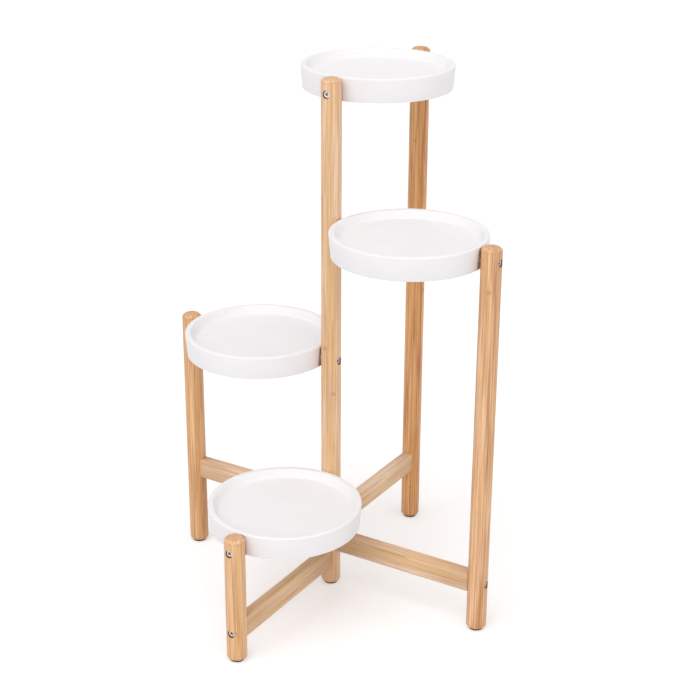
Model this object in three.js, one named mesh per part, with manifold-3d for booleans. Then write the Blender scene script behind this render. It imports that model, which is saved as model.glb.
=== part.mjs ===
// Tiered plant stand. Five round bamboo posts stand in a square cross, and the centre post is shared.
// Each arm of the cross holds one round tray between the centre post and its own outer post, one step
// higher than the arm before, and a flat rail ties the same two posts together near the floor.
//
// Millimetres, +Z up. The origin is on the floor, under the middle of the centre post. The lowest
// tray lies towards -Y, the next towards -X, the third towards +X and the highest towards +Y.
import * as THREE from "three";
import { mergeVertices } from "three/addons/utils/BufferGeometryUtils.js";
import Module from "manifold-3d";

const wasm = await Module();
wasm.setup();

// ---- Driving dimensions ---------------------------------------------------------------------------

// The tiers, lowest first: the way each arm points, and its rail's place in the stack of rails.
const tiers = [
  { angle: -90, railPlace: 0 },
  { angle: 180, railPlace: 3 },
  { angle: 0, railPlace: 1 },
  { angle: 90, railPlace: 2 },
];
const tierRise = 195; // from one tier's post top to the next

// Clearances.
const contactGap = 0.3; // between two faces that touch on the real stand
const boltPlay = 0.4; // round a bolt's shank in a post

// Posts.
const postDiameter = 29;
const postEdgeRadius = 4;

// Foot pads.
const padDiameter = 20;
const padThickness = 2;

// Trays: a shallow dish with a wide rim and a skirt that hangs from it.
const trayDiameter = 220;
const trayHeight = 34;
const trayTaper = 2.5; // how much nearer the middle the skirt's foot is than the rim
const trayDrop = 1; // rim below the post tops
const rimWidth = 8;
const rimEdgeRadius = 2.5;
const dishDepth = 12;
const dishWallRun = 6; // how far the dish's wall leans in from the rim to the floor
const dishFillet = 4;
const trayWall = 2.6;
const floorThickness = 3;
const bossWall = 2;
const ribCount = 4; // ribs that cross the whole underside
const ribThickness = 2;
const ribDepth = 8;

// Rails.
const railHeight = 32;
const railThickness = 17.5;
const railEdgeRadius = 3.5;
const lowestRailUnderside = 31;
const railStep = 28.5; // from one rail to the next in the stack

// Socket head bolts and the threaded inserts that they screw into.
const boltDiameter = 6;
const boltLength = 30; // under the head
const boltHeadDiameter = 10;
const boltHeadHeight = 6;
const boltHeadChamfer = 0.6;
const boltHeadSink = 2.5; // head below the post's outermost line
const socketAcrossFlats = 5;
const socketDepth = 3;
const insertDiameter = 9;
const insertLength = 12;
const boltTipRoom = 2; // empty hole past the bolt's tip
const bossEndWall = 2.5;

// How far a cut runs past the face that it opens, and the most of a wall that one rounded edge takes.
const cutOverrun = 1;
const mostRounding = 0.45;

// Fineness of the round shapes.
const traySides = 36;
const postSides = 20;
const smallSides = 10;
const arcSteps = 2;

// ---- Sizes that follow ----------------------------------------------------------------------------

const postRadius = postDiameter / 2;
const postEdge = Math.min(postEdgeRadius, mostRounding * postDiameter);
const trayRadius = trayDiameter / 2;
const armReach = trayDiameter + postDiameter + 2 * contactGap;
const postFoot = padThickness + contactGap;

const boltReach = boltHeadSink + boltHeadHeight + boltLength - postDiameter; // past the post
const shankHoleDiameter = boltDiameter + 2 * boltPlay;
const counterboreDiameter = boltHeadDiameter + 2 * boltPlay;
const counterboreDepth = boltHeadSink + boltHeadHeight + contactGap;
const threadDiameter = boltDiameter + 2 * contactGap;
const insertHoleDiameter = insertDiameter + 2 * contactGap;
const insertHoleDepth = Math.max(boltReach - contactGap, insertLength) + boltTipRoom;
const bossDiameter = insertHoleDiameter + 2 * bossWall;
const bossLength = insertHoleDepth + bossEndWall;

const dishFloor = trayHeight - dishDepth;
const floorUnderside = dishFloor - floorThickness;
const trayBoltHeight = floorUnderside - insertHoleDiameter / 2; // above the tray's foot
const dishMouthRadius = trayRadius - rimWidth;
const dishFloorRadius = dishMouthRadius - dishWallRun;
const rimEdge = Math.min(rimEdgeRadius, mostRounding * rimWidth);
const rimUnderside = trayHeight - floorThickness;

const topOfTier = (tier) => tierRise * (tier + 1);
const footOfTray = (tier) => topOfTier(tier) - trayDrop - trayHeight;
const heightOfTrayBolt = (tier) => footOfTray(tier) + trayBoltHeight;
const middleOfRail = (tier) => lowestRailUnderside + railStep * tiers[tier].railPlace + railHeight / 2;

// ---- Solids ---------------------------------------------------------------------------------------

// A closed solid from a geometry: only places are kept, corners that share a place become one, and
// the flat slivers that a lathe leaves on its axis are dropped.
function solidOf(geometry) {
  geometry.deleteAttribute("normal");
  geometry.deleteAttribute("uv");
  const merged = mergeVertices(geometry, 1e-4);
  const corners = merged.index.array;
  const triangles = [];
  for (let i = 0; i < corners.length; i += 3) {
    const [a, b, c] = corners.slice(i, i + 3);
    if (a !== b && b !== c && c !== a) triangles.push(a, b, c);
  }
  const vertProperties = new Float32Array(merged.attributes.position.array);
  const triVerts = new Uint32Array(triangles);
  return new wasm.Manifold(new wasm.Mesh({ numProp: 3, vertProperties, triVerts }));
}

// The geometry of a finished solid.
function geometryOf(solid) {
  const mesh = solid.getMesh();
  const places = new THREE.BufferAttribute(new Float32Array(mesh.vertProperties), 3);
  const shared = new THREE.BufferGeometry().setAttribute("position", places);
  shared.setIndex(new THREE.BufferAttribute(new Uint32Array(mesh.triVerts), 1));
  const geometry = shared.toNonIndexed();
  geometry.computeVertexNormals();
  return geometry;
}

// A turned shape about Z, from [radius, height] points that run from the axis at the foot, round
// the outside, back to the axis at the top.
function turned(outline, sides) {
  const points = outline.map(([radius, height]) => new THREE.Vector2(Math.max(radius, 0), height));
  return new THREE.LatheGeometry(points, sides).rotateX(Math.PI / 2);
}

// A ring turned about Z, from the [radius, height] points of its section.
function turnedRing(section, sides) {
  return turned([...section, section[0]], sides);
}

// Points of an arc about [radius, height], from one angle to another in degrees.
function arc(radius, height, size, from, to) {
  const points = [];
  for (let step = 0; step <= arcSteps; step += 1) {
    const angle = THREE.MathUtils.degToRad(from + ((to - from) * step) / arcSteps);
    points.push([radius + size * Math.cos(angle), height + size * Math.sin(angle)]);
  }
  return points;
}

// Lays a shape that stands on +Z down along +X.
function layAlongX(geometry) {
  return geometry.rotateY(Math.PI / 2);
}

// A cutter for a round hole: its flats, and not its corners, lie on the hole's diameter.
function holeCutter(diameter, length, sides) {
  const radius = diameter / 2 / Math.cos(Math.PI / sides);
  return new THREE.CylinderGeometry(radius, radius, length, sides).rotateX(Math.PI / 2);
}

// A cutter for a hole along +X that runs between two places.
function holeAlongX(diameter, from, to, height) {
  const cutter = layAlongX(holeCutter(diameter, Math.abs(to - from), smallSides));
  return solidOf(cutter.translate((from + to) / 2, 0, height));
}

// ---- Posts ----------------------------------------------------------------------------------------

// A post that stands on its foot, with both ends rounded over.
function plainPost(top) {
  const flat = postRadius - postEdge;
  const outline = [
    [0, postFoot],
    ...arc(flat, postFoot + postEdge, postEdge, -90, 0),
    ...arc(flat, top - postEdge, postEdge, 0, 90),
    [0, top],
  ];
  return solidOf(turned(outline, postSides));
}

// What a bolt cuts out of a post: its shank's hole right through, and the counterbore for its head.
// The head is on the post's -X side, and the whole cut is turned about Z by the angle.
function boltCut(height, angle) {
  const shank = holeCutter(shankHoleDiameter, postDiameter + 2 * cutOverrun, smallSides);
  const head = holeCutter(counterboreDiameter, counterboreDepth + cutOverrun, smallSides);
  const headMiddle = (counterboreDepth - cutOverrun) / 2 - postRadius;
  const turn = THREE.MathUtils.degToRad(angle);
  const place = (geometry) => solidOf(geometry.rotateZ(turn).translate(0, 0, height));
  return place(layAlongX(shank)).add(place(layAlongX(head).translate(headMiddle, 0, 0)));
}

// The outer post of a tier. Its bolts' heads are on its outer side.
function outerPost(tier) {
  return [heightOfTrayBolt(tier), middleOfRail(tier)].reduce(
    (post, height) => post.subtract(boltCut(height, 180)),
    plainPost(topOfTier(tier)),
  );
}

// The centre post. Each bolt's head is on the side away from the arm that it holds.
function centrePost() {
  return tiers.reduce(
    (post, { angle }, tier) =>
      post
        .subtract(boltCut(heightOfTrayBolt(tier), angle))
        .subtract(boltCut(middleOfRail(tier), angle)),
    plainPost(topOfTier(tiers.length - 1)),
  );
}

// ---- Rails ----------------------------------------------------------------------------------------

// A rail along +X, from the centre post to the outer one. Its ends are hollowed to the posts, and
// hold a threaded insert each.
function rail() {
  const corner = Math.min(railEdgeRadius, mostRounding * railThickness, mostRounding * railHeight);
  const x = railThickness / 2 - corner;
  const y = railHeight / 2 - corner;
  const section = new THREE.Shape()
    .absarc(x, y, corner, 0, Math.PI / 2)
    .absarc(-x, y, corner, Math.PI / 2, Math.PI)
    .absarc(-x, -y, corner, Math.PI, (3 * Math.PI) / 2)
    .absarc(x, -y, corner, (3 * Math.PI) / 2, 2 * Math.PI);
  const bar = new THREE.ExtrudeGeometry(section, {
    depth: armReach,
    bevelEnabled: false,
    curveSegments: arcSteps,
  });
  const hollowDiameter = postDiameter + 2 * contactGap;
  const hollow = () => holeCutter(hollowDiameter, railHeight + 2 * cutOverrun, postSides);
  const endFace = postRadius + contactGap;
  return solidOf(bar.rotateX(Math.PI / 2).rotateZ(Math.PI / 2))
    .subtract(solidOf(hollow()))
    .subtract(solidOf(hollow().translate(armReach, 0, 0)))
    .subtract(holeAlongX(insertHoleDiameter, 0, endFace + insertHoleDepth, 0))
    .subtract(holeAlongX(insertHoleDiameter, armReach - endFace - insertHoleDepth, armReach, 0));
}

// ---- Trays ----------------------------------------------------------------------------------------

// The tray's outside, filled: its skirt leans in towards the foot, and the rim's edge is rounded.
function trayBlock() {
  const outline = [
    [0, 0],
    [trayRadius - trayTaper, 0],
    ...arc(trayRadius - rimEdge, trayHeight - rimEdge, rimEdge, 0, 90),
    [0, trayHeight],
  ];
  return solidOf(turned(outline, traySides));
}

// The room in the dish, which runs on above the rim.
function dishRoom() {
  const above = trayHeight + cutOverrun;
  const flatRim = dishMouthRadius + rimEdge;
  const lean = Math.atan2(dishWallRun, dishDepth);
  const leanDegrees = THREE.MathUtils.radToDeg(lean);
  const filletRadius = dishFloorRadius - dishFillet * Math.tan(Math.PI / 4 - lean / 2);
  const outline = [
    [0, dishFloor],
    ...arc(filletRadius, dishFloor + dishFillet, dishFillet, -90, -leanDegrees),
    ...arc(flatRim, trayHeight - rimEdge, rimEdge, 180 - leanDegrees, 90),
    [flatRim, above],
    [0, above],
  ];
  return solidOf(turned(outline, traySides));
}

// The skirt's inner face, and the face under the dish's wall, at a height.
const skirtInside = (height) => trayRadius - trayWall - trayTaper * (1 - height / rimUnderside);
const underDishWall = (height) => {
  const rise = (height - floorUnderside) / (rimUnderside - floorUnderside);
  return dishFloorRadius + trayWall + dishWallRun * rise;
};

// The hollow under the tray. It runs up between the skirt and the dish's wall to the rim, or to
// where the two walls meet.
function undersideRoom() {
  const room = (height) => skirtInside(height) - underDishWall(height);
  const spare = room(floorUnderside) - contactGap;
  const lost = room(floorUnderside) - room(rimUnderside);
  const climb = (rimUnderside - floorUnderside) * Math.min(1, spare / Math.max(lost, spare));
  const roof = floorUnderside + climb;
  const outline = [
    [0, -cutOverrun],
    [skirtInside(0), -cutOverrun],
    [skirtInside(0), 0],
    [skirtInside(roof), roof],
    [underDishWall(roof), roof],
    [underDishWall(floorUnderside), floorUnderside],
    [0, floorUnderside],
  ];
  return solidOf(turned(outline, traySides));
}

// A boss along X for one insert, from the tray's outermost line inwards.
function boss(side) {
  const cylinder = new THREE.CylinderGeometry(
    bossDiameter / 2,
    bossDiameter / 2,
    bossLength,
    smallSides,
  );
  const middle = side * (trayRadius - bossLength / 2);
  return solidOf(cylinder.rotateZ(Math.PI / 2).translate(middle, 0, trayBoltHeight));
}

// One rib across the underside, from skirt to skirt.
function rib(turn) {
  const length = 2 * (trayRadius - trayTaper);
  const height = ribDepth + floorThickness / 2;
  const bar = new THREE.BoxGeometry(length, ribThickness, height);
  bar.translate(0, 0, floorUnderside + floorThickness / 2 - height / 2);
  return solidOf(bar.rotateZ(turn));
}

// A tray about its own middle, with its foot at height 0 and its bolts along X.
function tray() {
  let body = trayBlock().subtract(undersideRoom()).add(boss(1)).add(boss(-1));
  for (let place = 0; place < ribCount; place += 1) {
    body = body.add(rib((Math.PI * place) / ribCount));
  }
  const holeEnd = trayRadius - insertHoleDepth;
  return body
    .subtract(dishRoom())
    .subtract(holeAlongX(insertHoleDiameter, holeEnd, trayRadius + cutOverrun, trayBoltHeight))
    .subtract(holeAlongX(insertHoleDiameter, -trayRadius - cutOverrun, -holeEnd, trayBoltHeight));
}

// ---- Fasteners and feet ---------------------------------------------------------------------------

// A bolt along +X. Its head's top is at 0 and its tip points to +X.
function bolt() {
  const headRadius = boltHeadDiameter / 2;
  const shankRadius = boltDiameter / 2;
  const outline = [
    [0, 0],
    [headRadius - boltHeadChamfer, 0],
    [headRadius, boltHeadChamfer],
    [headRadius, boltHeadHeight],
    [shankRadius, boltHeadHeight],
    [shankRadius, boltHeadHeight + boltLength],
    [0, boltHeadHeight + boltLength],
  ];
  const socketRadius = socketAcrossFlats / 2 / Math.cos(Math.PI / 6);
  const socket = new THREE.CylinderGeometry(socketRadius, socketRadius, 2 * socketDepth, 6);
  return solidOf(layAlongX(turned(outline, smallSides))).subtract(
    solidOf(socket.rotateZ(Math.PI / 2)),
  );
}

// A threaded insert along +X, from 0 to its length.
function insert() {
  const threadRadius = threadDiameter / 2 / Math.cos(Math.PI / smallSides);
  const section = [
    [threadRadius, 0],
    [insertDiameter / 2, 0],
    [insertDiameter / 2, insertLength],
    [threadRadius, insertLength],
  ];
  return solidOf(layAlongX(turnedRing(section, smallSides)));
}

// A foot pad on the floor.
function footPad() {
  const disc = new THREE.CylinderGeometry(padDiameter / 2, padDiameter / 2, padThickness, postSides);
  return solidOf(disc.rotateX(Math.PI / 2).translate(0, 0, padThickness / 2));
}

// ---- Materials ------------------------------------------------------------------------------------

const bamboo = new THREE.MeshStandardMaterial({ color: 0xdcae78, roughness: 0.5, metalness: 0 });
const plastic = new THREE.MeshStandardMaterial({ color: 0xf4f0ef, roughness: 0.4, metalness: 0 });
const steel = new THREE.MeshStandardMaterial({ color: 0xc4c6c9, roughness: 0.3, metalness: 1 });
const brass = new THREE.MeshStandardMaterial({ color: 0xc9a45a, roughness: 0.4, metalness: 1 });
const rubber = new THREE.MeshStandardMaterial({ color: 0x2f2a27, roughness: 0.8, metalness: 0 });

// ---- Assembly -------------------------------------------------------------------------------------

const stand = new THREE.Group();

// Adds a named piece to a group, at a place, turned about Z by the angle in degrees.
function place(group, name, solid, material, [x, y, z], angle = 0) {
  const mesh = new THREE.Mesh(geometryOf(solid), material.clone());
  mesh.name = name;
  mesh.position.set(x, y, z);
  mesh.rotation.z = THREE.MathUtils.degToRad(angle);
  group.add(mesh);
}

// The two bolts and two inserts that hold one crosspiece of an arm, a tray or a rail, at a height.
function fastenings(arm, use, number, height) {
  const head = postRadius - boltHeadSink;
  const face = postRadius + contactGap;
  const outerInsert = armReach - face - insertLength;
  place(arm, `${use}_bolt_center_${number}`, bolt(), steel, [-head, 0, height]);
  place(arm, `${use}_bolt_outer_${number}`, bolt(), steel, [armReach + head, 0, height], 180);
  place(arm, `${use}_insert_center_${number}`, insert(), brass, [face, 0, height]);
  place(arm, `${use}_insert_outer_${number}`, insert(), brass, [outerInsert, 0, height]);
}

place(stand, "center_post", centrePost(), bamboo, [0, 0, 0]);
place(stand, "foot_pad_center", footPad(), rubber, [0, 0, 0]);

tiers.forEach(({ angle }, tier) => {
  const number = tier + 1;
  const arm = new THREE.Group();
  arm.rotation.z = THREE.MathUtils.degToRad(angle);
  place(arm, `outer_post_${number}`, outerPost(tier), bamboo, [armReach, 0, 0]);
  place(arm, `foot_pad_${number}`, footPad(), rubber, [armReach, 0, 0]);
  place(arm, `rail_${number}`, rail(), bamboo, [0, 0, middleOfRail(tier)]);
  place(arm, `tray_${number}`, tray(), plastic, [armReach / 2, 0, footOfTray(tier)]);
  fastenings(arm, "tray", number, heightOfTrayBolt(tier));
  fastenings(arm, "rail", number, middleOfRail(tier));
  stand.add(arm);
});

export default stand;
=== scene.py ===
# %% [markdown]
# # A tiered plant stand in bamboo and white plastic
#
# The stand is five round bamboo posts set out as a square cross. Each arm of the cross holds one
# round white tray, a step higher than the arm before, and a flat bamboo rail ties the same two posts
# together near the floor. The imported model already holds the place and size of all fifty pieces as
# plain faceted solids. This lesson gives each of them its fine surface and its finish.

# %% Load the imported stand
import math

import bmesh
import bpy
from mathutils import Matrix, Vector


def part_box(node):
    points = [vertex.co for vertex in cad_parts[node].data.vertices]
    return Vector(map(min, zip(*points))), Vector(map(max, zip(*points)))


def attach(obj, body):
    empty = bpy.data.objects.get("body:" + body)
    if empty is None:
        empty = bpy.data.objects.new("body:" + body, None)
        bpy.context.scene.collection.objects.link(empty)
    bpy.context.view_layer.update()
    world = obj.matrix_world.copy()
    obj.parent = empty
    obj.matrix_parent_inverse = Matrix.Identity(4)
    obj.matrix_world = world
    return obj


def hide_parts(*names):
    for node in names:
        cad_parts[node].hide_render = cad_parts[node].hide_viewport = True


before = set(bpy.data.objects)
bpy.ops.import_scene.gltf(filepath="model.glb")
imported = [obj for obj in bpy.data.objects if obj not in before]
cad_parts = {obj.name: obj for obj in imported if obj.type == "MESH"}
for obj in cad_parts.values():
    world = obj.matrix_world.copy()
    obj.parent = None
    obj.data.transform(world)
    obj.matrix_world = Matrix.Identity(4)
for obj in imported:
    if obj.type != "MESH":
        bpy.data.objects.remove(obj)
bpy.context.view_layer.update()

print("nodes:", len(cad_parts))

# %% [markdown]
# ## Sizes come from the frame
#
# A turned post or a moulded tray has to land exactly where its solid is, or the bolts miss their
# holes. The box of each node gives its real size and place, so those are read here and never typed
# again. What a box can't show, such as a rounded edge or the wall of a tray, is a named length in
# millimetres.

# %% Read the boxes
MM = 0.001
TIERS = (1, 2, 3, 4)


def middle(node):
    low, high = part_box(node)
    return (low + high) / 2


def extent(node):
    low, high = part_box(node)
    return high - low


POST_RADIUS = extent("center_post").x / 2
POST_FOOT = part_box("center_post")[0].z
ARM_REACH = middle("outer_post_1").xy.length
TRAY_RADIUS = extent("tray_1").x / 2
TRAY_HEIGHT = extent("tray_1").z
RAIL_THICKNESS = extent("rail_1").x
RAIL_HEIGHT = extent("rail_1").z
PAD_RADIUS = extent("foot_pad_center").x / 2
PAD_THICKNESS = extent("foot_pad_center").z
BOLT_HEAD_RADIUS = max(extent("tray_bolt_center_1").xz) / 2
BOLT_TOTAL = extent("tray_bolt_center_1").y
INSERT_RADIUS = max(extent("tray_insert_center_1").xz) / 2
INSERT_LENGTH = extent("tray_insert_center_1").y
print(f"arm {ARM_REACH / MM:.1f}, post {2 * POST_RADIUS / MM:.1f}, tray {2 * TRAY_RADIUS / MM:.1f} mm")

# %% Lengths that no box shows
CONTACT_GAP = 0.3 * MM  # between two faces that touch on the real stand
BOLT_PLAY = 0.4 * MM  # round a bolt in its hole
POST_EDGE = 4 * MM
BOLT_HEAD_HEIGHT = 6 * MM
BOLT_HEAD_SINK = POST_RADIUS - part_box("tray_bolt_center_1")[1].y
BOLT_SHANK_RADIUS = 3 * MM
SHANK_HOLE = BOLT_SHANK_RADIUS + BOLT_PLAY
COUNTERBORE = BOLT_HEAD_RADIUS + BOLT_PLAY
COUNTERBORE_FLOOR = POST_RADIUS - BOLT_HEAD_SINK - BOLT_HEAD_HEIGHT - CONTACT_GAP
INSERT_HOLE = INSERT_RADIUS + CONTACT_GAP
INSERT_HOLE_DEPTH = INSERT_LENGTH + 2 * MM
ROUND_SIDES = 48  # of a round bar that cuts or fills


def arm_turn(tier):
    """How far round Z the arm of a tier points."""
    place = middle(f"outer_post_{tier}")
    return math.atan2(place.y, place.x)


def on_arm(tier, along, height):
    """A point over the line of an arm."""
    turn = arm_turn(tier)
    return Vector((along * math.cos(turn), along * math.sin(turn), height))


def arm_frame(tier, along, height):
    """The matrix that takes a part made along +X to its place on an arm."""
    return Matrix.Translation(on_arm(tier, along, height)) @ Matrix.Rotation(arm_turn(tier), 4, "Z")


def put_in_scene(name, data):
    """A new object with some data, linked to the scene."""
    thing = bpy.data.objects.new(name, data)
    bpy.context.scene.collection.objects.link(thing)
    return thing


print(f"bolt heads sit {BOLT_HEAD_SINK / MM:.1f} mm below the round of the posts")
print("arms point to", [round(math.degrees(arm_turn(tier))) for tier in TIERS], "degrees")

# %% [markdown]
# ## The camera
#
# The view is from a little above the highest tray, on the side of the lowest one, with a longish
# lens. A camera looks down its own -Z, so it is first tipped up from the floor, then turned about Z,
# and last rolled a touch about its own line of sight.

# %% Place the camera
EYE = Vector((1.0817, -1.7416, 1.2252))
HEADING = math.radians(31.08)
LOOK_DOWN = math.radians(22.32)
ROLL = math.radians(0.36)
SENSOR_WIDTH = 36  # millimetres, as the lens
LENS = 78.87
FARTHEST = 100  # metres

camera_data = bpy.data.cameras.new("eye")
camera_data.sensor_width = SENSOR_WIDTH
camera_data.lens = LENS
camera_data.clip_end = FARTHEST
camera = put_in_scene("eye", camera_data)
tip = Matrix.Rotation(math.pi / 2 - LOOK_DOWN, 4, "X") @ Matrix.Rotation(ROLL, 4, "Z")
camera.matrix_world = Matrix.Translation(EYE) @ Matrix.Rotation(HEADING, 4, "Z") @ tip
bpy.context.scene.camera = camera
print("camera at", tuple(round(value, 3) for value in EYE))

# %% [markdown]
# ## A short way to wire nodes
#
# Shader trees and Geometry Nodes trees are both lists of nodes joined by wires. Written out in full
# they hide the idea behind them, so two small helpers add nodes here. One is the tree, which feeds a
# new node with numbers or wires and gives what comes out. The other is such a wire, and a plain sum
# or product with it adds the math node that works it out.

# %% A wire between nodes
class Wire:
    """What comes out of a node. Arithmetic with it adds a math node and gives the new wire."""

    def __init__(self, tree, socket):
        self.tree = tree
        self.socket = socket

    def __add__(self, other):
        return self.tree.math("ADD", self, other)

    def __sub__(self, other):
        return self.tree.math("SUBTRACT", self, other)

    def __rsub__(self, other):
        return self.tree.math("SUBTRACT", other, self)

    def __mul__(self, other):
        return self.tree.math("MULTIPLY", self, other)

    def __truediv__(self, other):
        return self.tree.math("DIVIDE", self, other)

    def __rtruediv__(self, other):
        return self.tree.math("DIVIDE", other, self)


print("a wire takes +, -, * and /")

# %% The wiring helper
class Wires:
    """Adds nodes to one tree. An input takes a number, a word, a wire or a list of wires."""

    def __init__(self, tree):
        self.tree = tree

    def feed(self, socket, value):
        if isinstance(value, Wire):
            self.tree.links.new(value.socket, socket)
        elif isinstance(value, list):
            for wire in value:
                self.feed(socket, wire)
        else:
            socket.default_value = value

    def outputs(self, node):
        """A node's outputs as wires, each under its number and its name."""
        found = {}
        for number, socket in enumerate(node.outputs):
            found[number] = Wire(self, socket)
            found.setdefault(socket.name, found[number])
        return found

    def add(self, kind, values=None, **settings):
        """Adds a node, feeds its inputs by name or number, and gives its outputs."""
        node = self.tree.nodes.new(kind)
        for name, setting in settings.items():
            setattr(node, name, setting)
        for name, value in (values or {}).items():
            self.feed(node.inputs[name], value)
        return self.outputs(node)

    def math(self, operation, *values):
        return self.add("ShaderNodeMath", dict(enumerate(values)), operation=operation)[0]

    def vector(self, operation, *values):
        return self.add("ShaderNodeVectorMath", dict(enumerate(values)), operation=operation)

    def pack(self, x, y, z):
        return self.add("ShaderNodeCombineXYZ", {"X": x, "Y": y, "Z": z})[0]

    def unpack(self, vector):
        parts = self.add("ShaderNodeSeparateXYZ", {"Vector": vector})
        return parts["X"], parts["Y"], parts["Z"]

    def between(self, value, start, end, low=0.0, high=1.0):
        """A value's place from start to end, as a number from low to high."""
        limits = {"Value": value, "From Min": start, "From Max": end, "To Min": low, "To Max": high}
        return self.add("ShaderNodeMapRange", limits)[0]

    def blend(self, share, first, second):
        """A colour from the first to the second."""
        return self.add("ShaderNodeMix", {0: share, 6: first, 7: second}, data_type="RGBA")[2]

    def noise(self, vector, detail, scale=None):
        """Smooth noise from 0 to 1, one unit across, or finer by a scale for each axis."""
        if scale:
            vector = self.vector("MULTIPLY", vector, scale)["Vector"]
        return self.add("ShaderNodeTexNoise", {"Vector": vector, "Scale": 1.0, "Detail": detail})[0]

    def group(self, tree, values):
        """Places a shader group in this tree, with values for its inputs."""
        return self.add("ShaderNodeGroup", values, node_tree=tree)


print("wiring helper ready")

# %% New trees
NUMBER_SOCKETS = {float: "NodeSocketFloat", int: "NodeSocketInt"}
FLOAT, VECTOR, COLOUR = "NodeSocketFloat", "NodeSocketVector", "NodeSocketColor"
GEOMETRY, MATERIAL = "NodeSocketGeometry", "NodeSocketMaterial"


def new_tree(name, kind, takes, gives):
    """A tree's helper, its inputs and its outputs. An input is a number or a kind of socket."""
    tree = bpy.data.node_groups.new(name, kind)
    for label, value in takes.items():
        socket = NUMBER_SOCKETS.get(type(value), value)
        made = tree.interface.new_socket(name=label, in_out="INPUT", socket_type=socket)
        if socket != value:
            made.default_value = value
    for label, socket in gives.items():
        tree.interface.new_socket(name=label, in_out="OUTPUT", socket_type=socket)
    w = Wires(tree)
    return w, w.add("NodeGroupInput"), tree.nodes.new("NodeGroupOutput").inputs


print("new trees take and give", FLOAT, VECTOR, COLOUR, GEOMETRY, MATERIAL)

# %% [markdown]
# ## Shared effects: scuffs and dust
#
# Plastic and metal pick up the same faint scuffs, and dust settles on whatever faces up.
# Each effect is one node group that puts out a mask, so every material can place it with its own
# strength. The scuffs are noise pulled out long in two directions, and the dust is noise that counts
# only where the surface's own normal points upwards.

# %% Groups for scuffs and dust
def build_scuffs():
    takes = {"Vector": VECTOR, "Length": 9 * MM, "Width": 0.25 * MM}
    w, take, give = new_tree("fine_scuffs", "ShaderNodeTree", takes, {"Mask": FLOAT})
    masks = []
    for turn in (0.6, 2.1):
        spin = {"Vector": take["Vector"], "Axis": (0.3, 0.5, 1.0), "Angle": turn}
        x, y, z = w.unpack(w.add("ShaderNodeVectorRotate", spin)[0])
        pulled = w.pack(x / take["Width"], y / take["Length"], z / take["Length"])
        masks.append(w.between(w.noise(pulled, 1.0), 0.66, 0.8))
    w.feed(give["Mask"], w.math("MAXIMUM", *masks))
    return w.tree


def build_dust():
    takes = {"Vector": VECTOR, "Patch": 30 * MM, "Speck": 0.9 * MM}
    w, take, give = new_tree("settled_dust", "ShaderNodeTree", takes, {"Mask": FLOAT})

    def cloud(size, detail):
        sizes = w.pack(size, size, size)
        return w.noise(w.vector("DIVIDE", take["Vector"], sizes)["Vector"], detail)

    facing_up = w.between(w.unpack(w.add("ShaderNodeTexCoord")["Normal"])[2], 0.3, 1.0)
    film = w.between(cloud(take["Patch"], 2.0), 0.35, 0.8, 0.0, 0.6)
    grains = w.between(cloud(take["Speck"], 1.0), 0.68, 0.8, 0.0, 0.4)
    w.feed(give["Mask"], facing_up * (film + grains))
    return w.tree


SCUFFS = build_scuffs()
DUST = build_dust()
print("shared groups:", SCUFFS.name, DUST.name)

# %% [markdown]
# ## Laminated bamboo
#
# The wood is not one stick but flat bamboo strips, glued side by side and then turned or planed. What
# the eye reads as bamboo is therefore a set of layers: strips a few millimetres wide, each in its own
# tone, thin glue lines between them, long pale and golden streaks, short dark fibre dashes, and very
# now and then a knuckle where the cane had a joint. White noise gives each strip its own number, and
# that number shifts the streaks and the knuckles, so that nothing runs on across a glue line.

# %% Strips, streaks and knuckles
def bamboo_strips(w, take, x, y):
    """How far across its strip a point is, and the strip's own chance numbers."""
    across = x / take["Strip Width"] + take["Seed"]
    strip = w.math("FLOOR", across)
    layer = w.math("FLOOR", y / take["Strip Breadth"] + strip * 0.37)
    label = w.pack(strip, layer, take["Seed"])
    return w.math("FRACT", across), w.add("ShaderNodeTexWhiteNoise", {"Vector": label})


def streak_maker(w, take, chance):
    """A maker of noise pulled out along the grain, different in each strip."""
    own_place = w.vector("MULTIPLY", chance["Color"], (40, 40, 40))["Vector"]

    def streaks(width, length, detail=1.0):
        pulled = w.vector("MULTIPLY", take["Vector"], (1 / width, 1 / width, 1 / length))["Vector"]
        return w.noise(w.vector("ADD", pulled, own_place)["Vector"], detail)

    return streaks


def bamboo_knuckles(w, take, chance, z):
    """A soft band where the cane had a joint, and the thin line in it, wavy across the strip."""
    phase = w.math("FRACT", z / take["Knuckle Spacing"] + chance["Value"])
    ripple = w.noise(take["Vector"], 1.0, (300, 300, 60))
    offset = (phase - 0.5) * take["Knuckle Spacing"] + (ripple - 0.5) * (5 * MM)
    distance = w.math("ABSOLUTE", offset)
    return w.between(distance, 5 * MM, 1.5 * MM), w.between(distance, 1.1 * MM, 0.4 * MM)


print("strips, streaks and knuckles ready")

# %% The bamboo group
END_GRAIN = (0.56, 0.37, 0.28, 1)


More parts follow.
